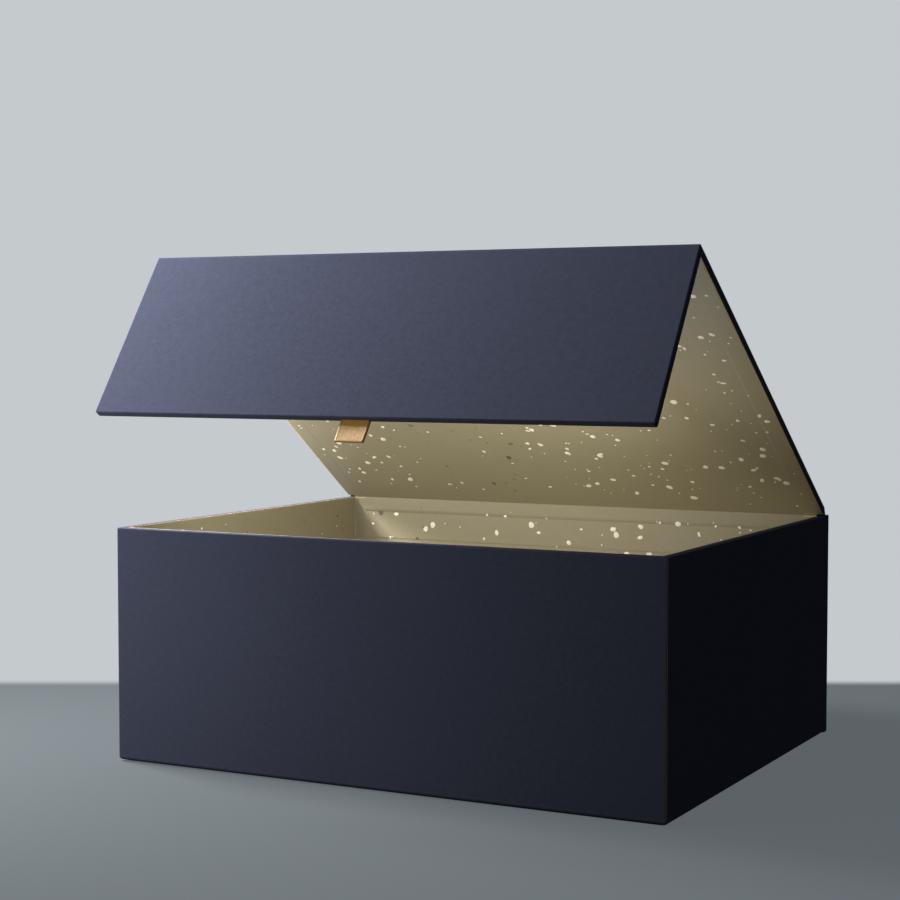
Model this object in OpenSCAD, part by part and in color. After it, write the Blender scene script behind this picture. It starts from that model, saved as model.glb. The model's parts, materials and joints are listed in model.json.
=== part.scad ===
// Magnetic closure box: a paper-wrapped greyboard tray, with a lid hinged on its spine and a flap that folds down over the front

/* [Box] */
// Outside width of the box
box_w = 250; // [200:1:320]
// Outside depth of the tray with its spine
box_d = 200; // [160:1:240]
// Height of the tray's rim above the table
box_h = 100; // [85:1:160]
// Radius of the folded bottom edges of the tray
edge_r = 2; // [1:0.5:3]

/* [Board and paper] */
// Thickness of the greyboard in the tray, spine, lid and flap
board_t = 3; // [2.4:0.1:4]
// Thickness of the wrapping paper and of the lining paper
paper_t = 0.2; // [0.15:0.05:0.3]
// Thickness of the card glued under the tray
base_t = 0.5; // [0.4:0.1:1.5]
// Distance from the tray's outside to the edge of the card under it
base_margin = 3; // [2:0.5:12]
// Width of the wrap that is folded over the rim and down inside the tray
rim_turn_in = 20; // [12:1:30]
// Width of the wrap that is folded onto the inner side of the lid and flap
lid_turn_in = 8; // [6:0.5:15]
// Width of the wrap that is folded onto the inner side of the spine
spine_turn_in = 12; // [8:1:20]
// Distance from the edge of a panel to the edge of its lining
lining_inset = 0.4; // [0.2:0.1:1.5]
// Thickness of the paper stay pressed into the board at each corner
stay_t = 0.1; // [0.05:0.05:0.2]
// Width of each leg of a corner stay
stay_w = 18; // [12:1:25]

/* [Lid and flap] */
// Angle of the open lid above level
lid_open = 34.5; // [5:0.5:80]
// Gap between the closed lid and the rim
lid_gap = 0.4; // [0.3:0.1:1]
// Height of the flap, from the ridge to its lower edge
flap_h = 80; // [60:1:84]
// Gap between the closed flap and the front wall
flap_gap = 0.8; // [0.5:0.1:2]
// Gap in the board where a panel meets its neighbour at a hinge
fold_gap = 0.3; // [0.2:0.1:0.8]
// Width of the hinge lining glued to the inner face of the back wall
hinge_lap = 3; // [2:0.5:10]

/* [Magnets] */
// Diameter of the magnets and of the steel discs that they hold
magnet_d = 12; // [8:0.5:16]
// Thickness of the magnets and of the steel discs
magnet_t = 1.5; // [1:0.1:2]
// Clearance round each magnet and disc in its pocket
magnet_fit = 0.1; // [0.05:0.05:0.3]
// Distance between the left and right magnets
magnet_spacing = 130; // [80:1:170]
// Height of the magnets' centres above the lower edge of the flap
magnet_up = 16; // [12:1:30]

/* [Ribbon tab] */
// Width of the ribbon
ribbon_w = 13; // [8:0.5:25]
// Thickness of the doubled ribbon
ribbon_t = 1; // [0.6:0.1:1.4]
// Length of ribbon seen below the flap
ribbon_show = 10; // [6:0.5:16]
// Length of ribbon glued inside the flap
ribbon_tail = 22; // [12:1:30]

/* [Flecks in the lining] */
// Smallest diameter of a fleck
fleck_min_d = 1.2; // [0.8:0.1:1.5]
// Largest diameter of a fleck
fleck_max_d = 3.4; // [2:0.1:4]
// Thickness of the foil flecks
fleck_t = 0.06; // [0.04:0.01:0.1]
// Side of the square of lining that holds one fleck on average
fleck_spacing = 30; // [24:1:55]
// Starting number of the random scatter
fleck_seed = 17; // [1:1:99]

/* [Hidden] */
$fn = 48;
navy = [0.11, 0.13, 0.2];
gold = [0.62, 0.54, 0.34];
grey = [0.55, 0.53, 0.49];
steel = [0.7, 0.71, 0.73];
foil = [0.9, 0.86, 0.72];
// Extra length by which a cut passes the face that it opens
cut = 1;
half_w = box_w / 2;
front_y = -box_d / 2;
rear_y = box_d / 2;
spine_t = board_t + 2 * paper_t;
tray_rear_y = rear_y - spine_t;
// Depth from the outside of a wall to the inner face of its board, and to its lining over the turned-in wrap
board_in = paper_t + board_t;
wall_t = board_in + 2 * paper_t;
floor_z = base_t + board_in;
rim_z = box_h;
turn_z = rim_z - rim_turn_in;
// The lid and the flap are one wrap, one board and a lining over the turned-in wrap
cover_t = wall_t;
half_t = cover_t / 2;
// The lid turns about a line over the inner face of the back wall, half way through its own thickness
hinge_y = tray_rear_y - wall_t;
hinge_z = rim_z + lid_gap + half_t;
// Distance from the hinge line to the ridge where the flap is folded down
ridge = hinge_y - front_y + flap_gap + cover_t;
lid_front = ridge - cover_t - fold_gap;
flap_top = half_t - paper_t - fold_gap;
flap_foot = half_t - flap_h;
flap_in = cover_t - ridge;
// Height of the magnets from the hinge line, and of the steel discs behind them when the box is closed
magnet_z = flap_foot + magnet_up;
disc_z = hinge_z + magnet_z;

// A box between two opposite corners
module block(low, high) {
    translate(low) cube(high - low);
}

// The inside of the tray at a depth from its outside, between two heights
module tray_core(depth, low_z, high_z) {
    block([depth - half_w, front_y + depth, low_z], [half_w - depth, tray_rear_y - depth, high_z]);
}

// A rod with its centre line along X or along Y
module rod_x(r, length) {
    rotate([0, 90, 0]) cylinder(r = r, h = length, center = true);
}
module rod_y(r, length) {
    rotate([90, 0, 0]) cylinder(r = r, h = length, center = true);
}

// The tray's outer form at a depth from its outside, with rounded bottom edges
module tray_form(depth, high_z) {
    r = edge_r - depth;
    low_z = base_t + depth;
    mid_y = (front_y + tray_rear_y) / 2;
    intersection() {
        union() {
            tray_core(depth, low_z + r, high_z);
            block([depth + r - half_w, front_y, low_z], [half_w - depth - r, tray_rear_y, high_z]);
            for (side = [-1, 1])
                translate([side * (half_w - depth - r), mid_y, low_z + r]) rod_y(r, box_d);
        }
        union() {
            tray_core(depth, low_z + r, high_z);
            block([-half_w, front_y + depth + r, low_z], [half_w, tray_rear_y - depth, high_z]);
            translate([0, front_y + depth + r, low_z + r]) rod_x(r, box_w);
        }
    }
}

// Places the lid's parts: they are drawn closed, with the hinge line along X at the origin
module on_lid() {
    translate([0, hinge_y, hinge_z]) rotate([-lid_open, 0, 0]) children();
}

// A disc standing on its edge, facing along Y, from the plane y to y + thickness
module upright_disc(x, y, z, d, thickness) {
    translate([x, y + thickness, z]) rotate([90, 0, 0]) cylinder(d = d, h = thickness);
}

// Foil flecks scattered over a flat field of lining, with sizes that are mostly small
module fleck_field(length, height, seed) {
    count = round(length * height / (fleck_spacing * fleck_spacing));
    across = rands(-0.5, 0.5, count, seed);
    up = rands(-0.5, 0.5, count, seed + 100);
    size = rands(0, 1, count, seed + 200);
    for (i = [0:count - 1]) {
        d = fleck_min_d + (fleck_max_d - fleck_min_d) * pow(size[i], 3);
        translate([across[i] * (length - fleck_max_d), up[i] * (height - fleck_max_d), 0])
            cylinder(d = d, h = fleck_t, $fn = 8);
    }
}

// Card glued under the tray, on which the box stands
module base_card() {
    color(navy) block([base_margin - half_w, front_y + base_margin, 0],
                      [half_w - base_margin, rear_y - base_margin, base_t]);
}

// Greyboard blank folded up into a floor and four walls, with pockets for the steel discs and the stays
module tray_board() {
    color(grey) difference() {
        tray_form(paper_t, rim_z - paper_t);
        tray_core(board_in, floor_z, rim_z + cut);
        for (side = [-1, 1]) {
            upright_disc(side * magnet_spacing / 2, front_y, disc_z, magnet_d + 2 * magnet_fit, paper_t + magnet_t);
            stay_form(side, front_y + paper_t, 1);
            stay_form(side, tray_rear_y - paper_t, -1);
        }
    }
}

// An angle of paper round one upright corner of the board, its second leg running the way inward gives along Y
module stay_form(side, corner_y, inward) {
    low_z = base_t + edge_r;
    high_z = rim_z - paper_t;
    corner_x = side * (half_w - paper_t);
    for (leg = [[stay_w, stay_t], [stay_t, stay_w]])
        translate([corner_x - side * leg[0] / 2, corner_y + inward * leg[1] / 2, (low_z + high_z) / 2])
            cube([leg[0], leg[1], high_z - low_z], center = true);
}

module corner_stay_front_left() {
    color(grey) stay_form(-1, front_y + paper_t, 1);
}
module corner_stay_front_right() {
    color(grey) stay_form(1, front_y + paper_t, 1);
}
module corner_stay_rear_left() {
    color(grey) stay_form(-1, tray_rear_y - paper_t, -1);
}
module corner_stay_rear_right() {
    color(grey) stay_form(1, tray_rear_y - paper_t, -1);
}

// One sheet of paper under the floor, up the walls, over the rim and down inside
module tray_wrap() {
    color(navy) {
        difference() {
            tray_form(0, rim_z);
            tray_form(paper_t, rim_z - paper_t);
            tray_core(board_in + paper_t, floor_z, rim_z + cut);
        }
        difference() {
            tray_core(board_in, turn_z, rim_z);
            tray_core(board_in + paper_t, turn_z - cut, rim_z + cut);
        }
    }
}

// One sheet of lining on the floor and walls, stepping over the edge of the turned-in wrap
module tray_lining() {
    color(gold) difference() {
        union() {
            tray_core(board_in, floor_z, turn_z);
            tray_core(board_in + paper_t, floor_z, rim_z - lining_inset);
        }
        tray_core(board_in + paper_t, floor_z + paper_t, turn_z - paper_t);
        tray_core(wall_t, floor_z + paper_t, rim_z + cut);
    }
}

// Foil flecks on the floor and on the walls below the turned-in wrap
module tray_flecks() {
    inner_w = box_w - 2 * wall_t;
    inner_d = tray_rear_y - front_y - 2 * wall_t;
    mid_y = (front_y + tray_rear_y) / 2;
    wall_h = turn_z - paper_t - floor_z;
    wall_z = floor_z + wall_h / 2;
    upper_h = rim_turn_in - lining_inset - hinge_lap;
    upper_z = turn_z + upper_h / 2;
    face = board_in + paper_t;
    color(foil) {
        translate([0, mid_y, floor_z + paper_t]) fleck_field(inner_w, inner_d, fleck_seed);
        for (side = [-1, 1]) {
            for (band = [[wall_h, wall_z, face, 10], [upper_h, upper_z, wall_t, 30]]) {
                translate([side * (half_w - band[2]), mid_y, band[1]]) rotate([90, 0, -90 * side])
                    fleck_field(inner_d, band[0], fleck_seed + band[3] + side);
            }
        }
        for (band = [[wall_h, wall_z, face, 14], [upper_h, upper_z, wall_t, 34]]) {
            translate([0, front_y + band[2], band[1]]) rotate([90, 0, 180])
                fleck_field(inner_w, band[0], fleck_seed + band[3]);
            translate([0, tray_rear_y - band[2], band[1]]) rotate([90, 0, 0])
                fleck_field(inner_w, band[0], fleck_seed + band[3] + 1);
        }
    }
}

// A steel disc let into the outer face of the front wall, behind the flap's magnet when the box is closed
module steel_disc(side) {
    color(steel) upright_disc(side * magnet_spacing / 2, front_y + paper_t, disc_z, magnet_d, magnet_t);
}
module steel_disc_left() {
    steel_disc(-1);
}
module steel_disc_right() {
    steel_disc(1);
}

// Greyboard spine glued to the back of the tray
module spine_board() {
    color(grey) block([paper_t - half_w, tray_rear_y + paper_t, base_t + paper_t],
                      [half_w - paper_t, rear_y - paper_t, rim_z]);
}

// Paper over the outside of the spine, folded round its two ends and its foot
module spine_wrap() {
    color(navy) difference() {
        block([-half_w, tray_rear_y, base_t], [half_w, rear_y, rim_z]);
        spine_board();
        block([spine_turn_in - half_w, tray_rear_y - cut, base_t + spine_turn_in],
              [half_w - spine_turn_in, tray_rear_y + paper_t, rim_z + cut]);
    }
}

// Strip of lining over the top of the back wall and down its inner face
module hinge_lining() {
    inner_y = hinge_y - paper_t;
    color(gold) {
        block([wall_t - half_w, inner_y, rim_z - hinge_lap], [half_w - wall_t, hinge_y, rim_z + paper_t]);
        block([wall_t - half_w, hinge_y, rim_z], [half_w - wall_t, tray_rear_y, rim_z + paper_t]);
    }
}

// Greyboard of the lid
module lid_board() {
    color(grey) on_lid() lid_board_form();
}
module lid_board_form() {
    block([paper_t - half_w, -lid_front, 2 * paper_t - half_t], [half_w - paper_t, -fold_gap, half_t - paper_t]);
}

// Paper over the lid, folded round its left and right edges, and on over the top of the flap to the ridge
module lid_wrap() {
    color(navy) on_lid() {
        difference() {
            block([-half_w, -lid_front, paper_t - half_t], [half_w, -fold_gap, half_t]);
            lid_board_form();
            block([lid_turn_in - half_w, -lid_front - cut, paper_t - half_t - cut],
                  [half_w - lid_turn_in, cut, 2 * paper_t - half_t]);
        }
        block([-half_w, -ridge, half_t - paper_t], [half_w, -lid_front, half_t]);
    }
}

// Lining of the lid, stepping over the turned-in edges of the wrap
module lid_lining() {
    edge = half_w - lining_inset;
    step = half_w - lid_turn_in;
    color(gold) on_lid() difference() {
        union() {
            block([-edge, -lid_front, -half_t], [edge, -fold_gap, paper_t - half_t]);
            block([-step, -lid_front, -half_t], [step, -fold_gap, 2 * paper_t - half_t]);
        }
        block([paper_t - step, -lid_front - cut, -half_t - cut], [step - paper_t, cut, paper_t - half_t]);
    }
}

// Foil flecks on the middle of the lid's lining and on its left and right borders
module lid_flecks() {
    mid_w = box_w - 2 * (lid_turn_in + paper_t);
    length = lid_front - fold_gap;
    mid_y = -(lid_front + fold_gap) / 2;
    border_w = lid_turn_in - lining_inset;
    border_x = half_w - lining_inset - border_w / 2;
    color(foil) on_lid() {
        translate([0, mid_y, paper_t - half_t - fleck_t]) fleck_field(mid_w, length, fleck_seed + 40);
        for (side = [-1, 1])
            translate([side * border_x, mid_y, -half_t - fleck_t]) fleck_field(border_w, length, fleck_seed + 42 + side);
    }
}

// Greyboard of the flap, with pockets for the magnets and a pressed bed for the ribbon
module flap_board() {
    color(grey) on_lid() difference() {
        flap_board_form();
        for (side = [-1, 1])
            upright_disc(side * magnet_spacing / 2, flap_in - 2 * paper_t - magnet_t, magnet_z,
                         magnet_d + 2 * magnet_fit, magnet_t + cut);
        ribbon_form();
    }
}
module flap_board_form() {
    block([paper_t - half_w, paper_t - ridge, flap_foot + paper_t], [half_w - paper_t, flap_in - 2 * paper_t, flap_top]);
}

// Paper over the flap, folded round its left, right and lower edges
module flap_wrap() {
    color(navy) on_lid() difference() {
        block([-half_w, -ridge, flap_foot], [half_w, flap_in - paper_t, flap_top]);
        flap_board_form();
        block([lid_turn_in - half_w, flap_in - 2 * paper_t, flap_foot + lid_turn_in],
              [half_w - lid_turn_in, flap_in, flap_top + cut]);
        ribbon_form();
    }
}

// Lining of the flap, stepping over the turned-in edges of the wrap
module flap_lining() {
    edge = half_w - lining_inset;
    step = half_w - lid_turn_in;
    top_z = -half_t - fold_gap;
    step_z = flap_foot + lid_turn_in;
    color(gold) on_lid() difference() {
        union() {
            block([-edge, flap_in - paper_t, flap_foot + lining_inset], [edge, flap_in, top_z]);
            block([-step, flap_in - 2 * paper_t, step_z], [step, flap_in, top_z]);
        }
        block([paper_t - step, flap_in - paper_t, step_z + paper_t], [step - paper_t, flap_in + cut, top_z + cut]);
    }
}

// Foil flecks on the middle of the flap's lining
module flap_flecks() {
    mid_w = box_w - 2 * (lid_turn_in + paper_t);
    low_z = flap_foot + lid_turn_in + paper_t;
    high_z = -half_t - fold_gap;
    color(foil) on_lid() translate([0, flap_in - paper_t + fleck_t, (low_z + high_z) / 2]) rotate([90, 0, 0])
        fleck_field(mid_w, high_z - low_z, fleck_seed + 60);
}

// A magnet let into the inner face of the flap's board
module magnet(side) {
    color(steel) on_lid()
        upright_disc(side * magnet_spacing / 2, flap_in - 2 * paper_t - magnet_t, magnet_z, magnet_d, magnet_t);
}
module magnet_left() {
    magnet(-1);
}
module magnet_right() {
    magnet(1);
}

// Doubled ribbon glued to the flap's board under the wrap and the lining, with its rounded fold below the flap
module ribbon_tab() {
    color(gold) on_lid() ribbon_form();
}
module ribbon_form() {
    face_y = flap_in - 2 * paper_t;
    fold_z = flap_foot - ribbon_show + ribbon_t / 2;
    block([-ribbon_w / 2, face_y - ribbon_t, fold_z], [ribbon_w / 2, face_y, flap_foot + ribbon_tail]);
    translate([0, face_y - ribbon_t / 2, fold_z]) rod_x(ribbon_t / 2, ribbon_w);
}

base_card();
tray_board();
corner_stay_front_left();
corner_stay_front_right();
corner_stay_rear_left();
corner_stay_rear_right();
tray_wrap();
tray_lining();
tray_flecks();
steel_disc_left();
steel_disc_right();
spine_board();
spine_wrap();
hinge_lining();
lid_board();
lid_wrap();
lid_lining();
lid_flecks();
flap_board();
flap_wrap();
flap_lining();
flap_flecks();
magnet_left();
magnet_right();
ribbon_tab();
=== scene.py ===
"""Magnetic closure box: outer papers, lining, foil flecks and ribbon tab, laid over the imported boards."""

import json
import math

import bpy
import numpy as np
from bpy.props import FloatProperty, FloatVectorProperty, IntProperty, PointerProperty
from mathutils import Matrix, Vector


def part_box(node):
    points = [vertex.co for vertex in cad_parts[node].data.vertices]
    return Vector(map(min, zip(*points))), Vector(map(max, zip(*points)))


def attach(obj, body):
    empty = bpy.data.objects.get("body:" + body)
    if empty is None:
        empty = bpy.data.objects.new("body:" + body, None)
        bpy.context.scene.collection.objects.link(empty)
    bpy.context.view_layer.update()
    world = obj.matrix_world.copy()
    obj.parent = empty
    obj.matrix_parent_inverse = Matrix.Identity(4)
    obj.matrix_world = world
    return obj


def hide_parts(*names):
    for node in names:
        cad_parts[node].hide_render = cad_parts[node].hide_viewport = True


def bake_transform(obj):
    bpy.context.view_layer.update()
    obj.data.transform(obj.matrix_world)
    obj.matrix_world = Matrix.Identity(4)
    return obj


bl_info = {
    "name": "Magnetic closure box",
    "version": (1, 0, 0),
    "blender": (4, 5, 0),
    "location": "3D View > Sidebar > Closure Box",
    "description": "Lays paper, lining, flecks and a ribbon tab over the boards of a magnetic closure box",
    "category": "Object",
}

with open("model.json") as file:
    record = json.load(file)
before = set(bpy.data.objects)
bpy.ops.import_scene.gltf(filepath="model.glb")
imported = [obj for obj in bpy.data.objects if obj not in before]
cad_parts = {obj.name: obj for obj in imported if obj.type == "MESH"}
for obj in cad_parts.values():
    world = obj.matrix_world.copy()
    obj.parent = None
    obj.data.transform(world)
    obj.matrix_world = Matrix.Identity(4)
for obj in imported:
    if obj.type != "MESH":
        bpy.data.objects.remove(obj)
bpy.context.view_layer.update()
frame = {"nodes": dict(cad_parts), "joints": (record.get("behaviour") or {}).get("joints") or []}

MM = 0.001
# Clearance that keeps two glued papers from sharing a face
LIFT = 0.02 * MM
# Least radius of a folded corner's ring, which keeps its points apart
LEAST_RADIUS = 0.05 * MM
X_AXIS = np.array([1.0, 0.0, 0.0])
JOINTS = {joint["name"]: joint for joint in frame["joints"]}
LID_HINGE = np.array(JOINTS["lid_hinge"]["pos_m"], float)
FLAP_HINGE = np.array(JOINTS["flap_hinge"]["pos_m"], float)
LID_OPEN = math.radians(-JOINTS["lid_hinge"]["range_deg"][0])
# The open lid's own directions: from its hinge to the ridge, and out of its upper face
LID_FORWARD = np.array([0.0, -math.cos(LID_OPEN), math.sin(LID_OPEN)])
LID_UP = np.array([0.0, math.sin(LID_OPEN), math.cos(LID_OPEN)])


def node_reach(node, origin, axis):
    """Least and greatest distance of a CAD node's points from an origin along an axis: their dot products
    with it."""
    mesh = frame["nodes"][node].data
    points = np.empty(len(mesh.vertices) * 3)
    mesh.vertices.foreach_get("co", points)
    reach = (points.reshape(-1, 3) - origin) @ axis
    return float(reach.min()), float(reach.max())


TRAY_LOW, TRAY_HIGH = (np.array(corner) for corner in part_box("tray_wrap"))
LINING_LOW, LINING_HIGH = (np.array(corner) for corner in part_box("tray_lining"))
SPINE_LOW, SPINE_HIGH = (np.array(corner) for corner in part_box("spine_wrap"))
HALF_W = TRAY_HIGH[0]
RIM_Z = TRAY_HIGH[2]
TRAY_MID_Y = (TRAY_LOW[1] + TRAY_HIGH[1]) / 2
TRAY_HALF_D = (TRAY_HIGH[1] - TRAY_LOW[1]) / 2
PAPER_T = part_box("tray_board")[0][0] - TRAY_LOW[0]
# The lining is drawn a little thinner than its place, so that its back stays off the wrap under it
LINING_T = 0.9 * PAPER_T
# Depth from the outside of a wall to its lining below and over the turned-in wrap
WALL_LOWER = HALF_W - LINING_HIGH[0] + PAPER_T
WALL_UPPER = WALL_LOWER + PAPER_T
FLOOR_Z = LINING_LOW[2] + PAPER_T
LINING_TOP_Z = LINING_HIGH[2]
HALF_T = float((FLAP_HINGE - LID_HINGE) @ LID_UP)
RIDGE = float((FLAP_HINGE - LID_HINGE) @ LID_FORWARD)
LID_REAR, LID_FRONT = node_reach("lid_board", LID_HINGE, LID_FORWARD)
LINING_HALF_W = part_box("lid_lining")[1][0]
FLAP_INNER = node_reach("flap_lining", LID_HINGE, LID_FORWARD)[0]
FLAP_LINING_LOW, FLAP_LINING_TOP = node_reach("flap_lining", LID_HINGE, LID_UP)
FLAP_FOOT, FLAP_TOP = node_reach("flap_wrap", LID_HINGE, LID_UP)
RIBBON_NEAR, RIBBON_FAR = node_reach("ribbon_tab", LID_HINGE, LID_FORWARD)
RIBBON_LOW, RIBBON_TOP = node_reach("ribbon_tab", LID_HINGE, LID_UP)
RIBBON_HALF_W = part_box("ribbon_tab")[1][0]


def on_lid(x, forward, up):
    """Points in the frame from places on the open lid: hinge + x along X + forward to the ridge + up out of
    the lid."""
    x, forward, up = np.broadcast_arrays(x, forward, up)
    return LID_HINGE + x[..., None] * X_AXIS + forward[..., None] * LID_FORWARD + up[..., None] * LID_UP


def smooth_step(value, start, end):
    """0 before start and 1 after end, and 3t^2 - 2t^3 of the share t of the way in between."""
    t = np.clip((np.asarray(value, float) - start) / (end - start), 0, 1)
    return t * t * (3 - 2 * t)


def rounded_path(corners, radii, steps=6, hold=0.3 * MM):
    """A bent line with an arc at each inner corner. The arc leaves the straight at radius * tan(half the
    turn) from the corner, and its centre stands one radius to the side. One more point stands hold away from
    each end of the arc, which keeps the shading of the flats flat."""
    corners = np.asarray(corners, float)
    parts = [corners[:1]]
    for before, corner, after, radius in zip(corners, corners[1:], corners[2:], radii):
        way_in = (corner - before) / np.linalg.norm(corner - before)
        way_out = (after - corner) / np.linalg.norm(after - corner)
        turn = math.atan2(way_in[0] * way_out[1] - way_in[1] * way_out[0], way_in @ way_out)
        reach = radius * math.tan(abs(turn) / 2)
        side = math.copysign(1, turn) * np.array([-way_in[1], way_in[0]])
        start = corner - reach * way_in
        spoke = -radius * side
        angle = np.linspace(0, turn, steps + 1)[:, None]
        across = np.array([-spoke[1], spoke[0]])
        arc = start - spoke + spoke * np.cos(angle) + across * np.sin(angle)
        parts += [[start - hold * way_in], arc, [corner + (reach + hold) * way_out]]
    parts.append(corners[-1:])
    return np.concatenate(parts)


def loop_columns(slides, steps=5):
    """Columns round a rectangle, counter-clockwise from its +u +v corner. Each corner has places at the slide
    distances before its arc, the arc, and the same places after it. Returns the corner's signs, the unit
    spoke and the slide along the side of each column."""
    signs, spokes, shifts = [], [], []
    slides = np.asarray(slides, float)
    for index, sign in enumerate([(1, 1), (-1, 1), (-1, -1), (1, -1)]):
        first = index * math.pi / 2
        angle = np.concatenate([np.full(len(slides), first),
                                np.linspace(first, first + math.pi / 2, steps + 1),
                                np.full(len(slides), first + math.pi / 2)])
        slide = np.concatenate([-slides[::-1], np.zeros(steps + 1), slides])
        tangent = np.column_stack([-np.sin(angle), np.cos(angle)])
        signs.append(np.tile(sign, (len(angle), 1)))
        spokes.append(np.column_stack([np.cos(angle), np.sin(angle)]))
        shifts.append(tangent * slide[:, None])
    return np.concatenate(signs), np.concatenate(spokes), np.concatenate(shifts)


def loop_rings(columns, half, insets, radii):
    """Rings of a rectangle with rounded corners: corner sign * (half size - inset - radius) + radius * spoke
    + slide, for one ring in each row."""
    sign, spoke, shift = columns
    insets, radii = np.asarray(insets, float)[:, None, None], np.maximum(radii, LEAST_RADIUS)[:, None, None]
    return sign * (np.asarray(half) - insets - radii) + radii * spoke + shift


def grid_quads(rows, cols, closed=False):
    """Corner numbers of the four-sided faces of a grid of points stored row by row. A closed grid joins its
    last column to its first."""
    number = np.arange(rows * cols).reshape(rows, cols)
    if closed:
        number = np.column_stack([number, number[:, 0]])
    return np.stack([number[:-1, :-1], number[:-1, 1:], number[1:, 1:], number[1:, :-1]], -1).reshape(-1, 4)


def add_piece(name, points, faces, material, body=None, slot=None, replaced=(), values=None, flat_faces=()):
    """A mesh object at the origin from points and lists of corner numbers, with float values on its points.
    It rides on its body, and the faces named in flat_faces are shaded flat."""
    mesh = bpy.data.meshes.new(name)
    mesh.from_pydata(np.asarray(points).reshape(-1, 3).tolist(), [], faces)
    smooth = np.ones(len(mesh.polygons), bool)
    smooth[list(flat_faces)] = False
    mesh.polygons.foreach_set("use_smooth", smooth)
    for key, value in (values or {}).items():
        layer = mesh.attributes.new(key, "FLOAT", "POINT")
        layer.data.foreach_set("value", np.asarray(value, np.float32).ravel())
    mesh.materials.append(material)
    mesh.validate()
    piece = bpy.data.objects.new(name, mesh)
    bpy.context.scene.collection.objects.link(piece)
    if replaced:
        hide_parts(*replaced)
    if body:
        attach(piece, body)
    return piece


def give_thickness(piece, thickness, offset=-1.0):
    """Makes a surface a sheet of even thickness, behind its outer face unless offset says otherwise."""
    sheet = piece.modifiers.new("Paper thickness", "SOLIDIFY")
    sheet.thickness, sheet.offset = thickness, offset
    sheet.use_even_offset, sheet.use_rim = True, True
    return piece


# Shapes of the papers


def wrapped_panel(name, origin, out, half_u, half_v, thick, turn_in, look, **piece):
    """Paper folded round a board. Rings of a rounded rectangle follow the profile (inset, depth): the
    turned-in edge behind the board, the fold, the board's edge, the second fold and the outer face, which one
    face closes. A place is origin + u * X + v * V - depth * out, with V square to both."""
    paper = bpy.context.scene.box_paper
    fold, corner = paper.fold_radius, paper.corner_radius
    profile = rounded_path([(turn_in, thick), (0, thick), (0, 0), (4 * MM, 0)], [fold, fold])
    columns = loop_columns([0.3 * MM, turn_in])
    rings = loop_rings(columns, (half_u, half_v), profile[:, 0], corner - profile[:, 0])
    across = np.cross(out, X_AXIS)
    depth = profile[:, None, 1:] * np.asarray(out)
    points = origin + rings[..., :1] * X_AXIS + rings[..., 1:] * across - depth
    rows, cols = rings.shape[:2]
    faces = grid_quads(rows, cols, closed=True).tolist()
    faces.append(list(range((rows - 1) * cols, rows * cols)))
    fold_mark = np.repeat(bend_marks(profile), cols)
    made = add_piece(name, points, faces, look, values={"fold": fold_mark}, **piece)
    return give_thickness(made, PAPER_T)


def bend_marks(profile):
    """1 at the points where a profile turns by more than a hundredth of a radian, and 0 on its straights."""
    step = np.diff(profile, axis=0)
    heading = np.unwrap(np.arctan2(step[:, 1], step[:, 0]))
    bend = np.zeros(len(profile))
    bend[1:-1] = np.abs(np.diff(heading)) > 0.01
    return bend


def tray_paper(look):
    """The tray's outer paper. Rings go round the tray at the heights and insets of one profile: from the
    middle of the underside to the rounded foot, up the wall, over the rim and down inside. Beside each
    upright corner the end panels' edge is a fine step, by which the columns past it stand out."""
    paper = bpy.context.scene.box_paper
    fold, corner, foot = paper.fold_radius, paper.corner_radius, paper.foot_radius
    low = TRAY_LOW[2]
    inner = WALL_LOWER
    profile = rounded_path([(40 * MM, low), (0, low), (0, RIM_Z), (inner, RIM_Z),
                            (inner, RIM_Z - paper.rim_turn_in)], [foot, fold, fold], steps=8)
    seam, step = paper.seam_from_corner, paper.seam_depth
    columns = loop_columns([0.3 * MM, seam, seam + 0.12 * MM, seam + 0.5 * MM, 20 * MM])
    rings = loop_rings(columns, (HALF_W, TRAY_HALF_D), profile[:, 0], corner - profile[:, 0])
    spoke, shift = columns[1], columns[2]
    on_end = np.abs(spoke[:, 0]) > 0.999
    sunk = step * (1 - on_end * smooth_step(np.abs(shift[:, 1]), seam, seam + 0.12 * MM))
    outer_rows = (profile[:, 0] < 0.05 * MM) & (profile[:, 1] > low + foot)
    rings = rings - (outer_rows[:, None] * sunk)[..., None] * (spoke * [1, 0])
    heights = np.broadcast_to(profile[:, None, 1], rings.shape[:2])
    points = np.stack([rings[..., 0], rings[..., 1] + TRAY_MID_Y, heights], -1)
    rows, cols = rings.shape[:2]
    faces = grid_quads(rows, cols, closed=True).tolist()
    faces.append(list(range(cols))[::-1])
    made = add_piece("tray_paper", points, faces, look, "tray", "tray_wrap", ("tray_wrap",),
                     {"fold": np.repeat(bend_marks(profile), cols)})
    return give_thickness(made, PAPER_T)


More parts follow.
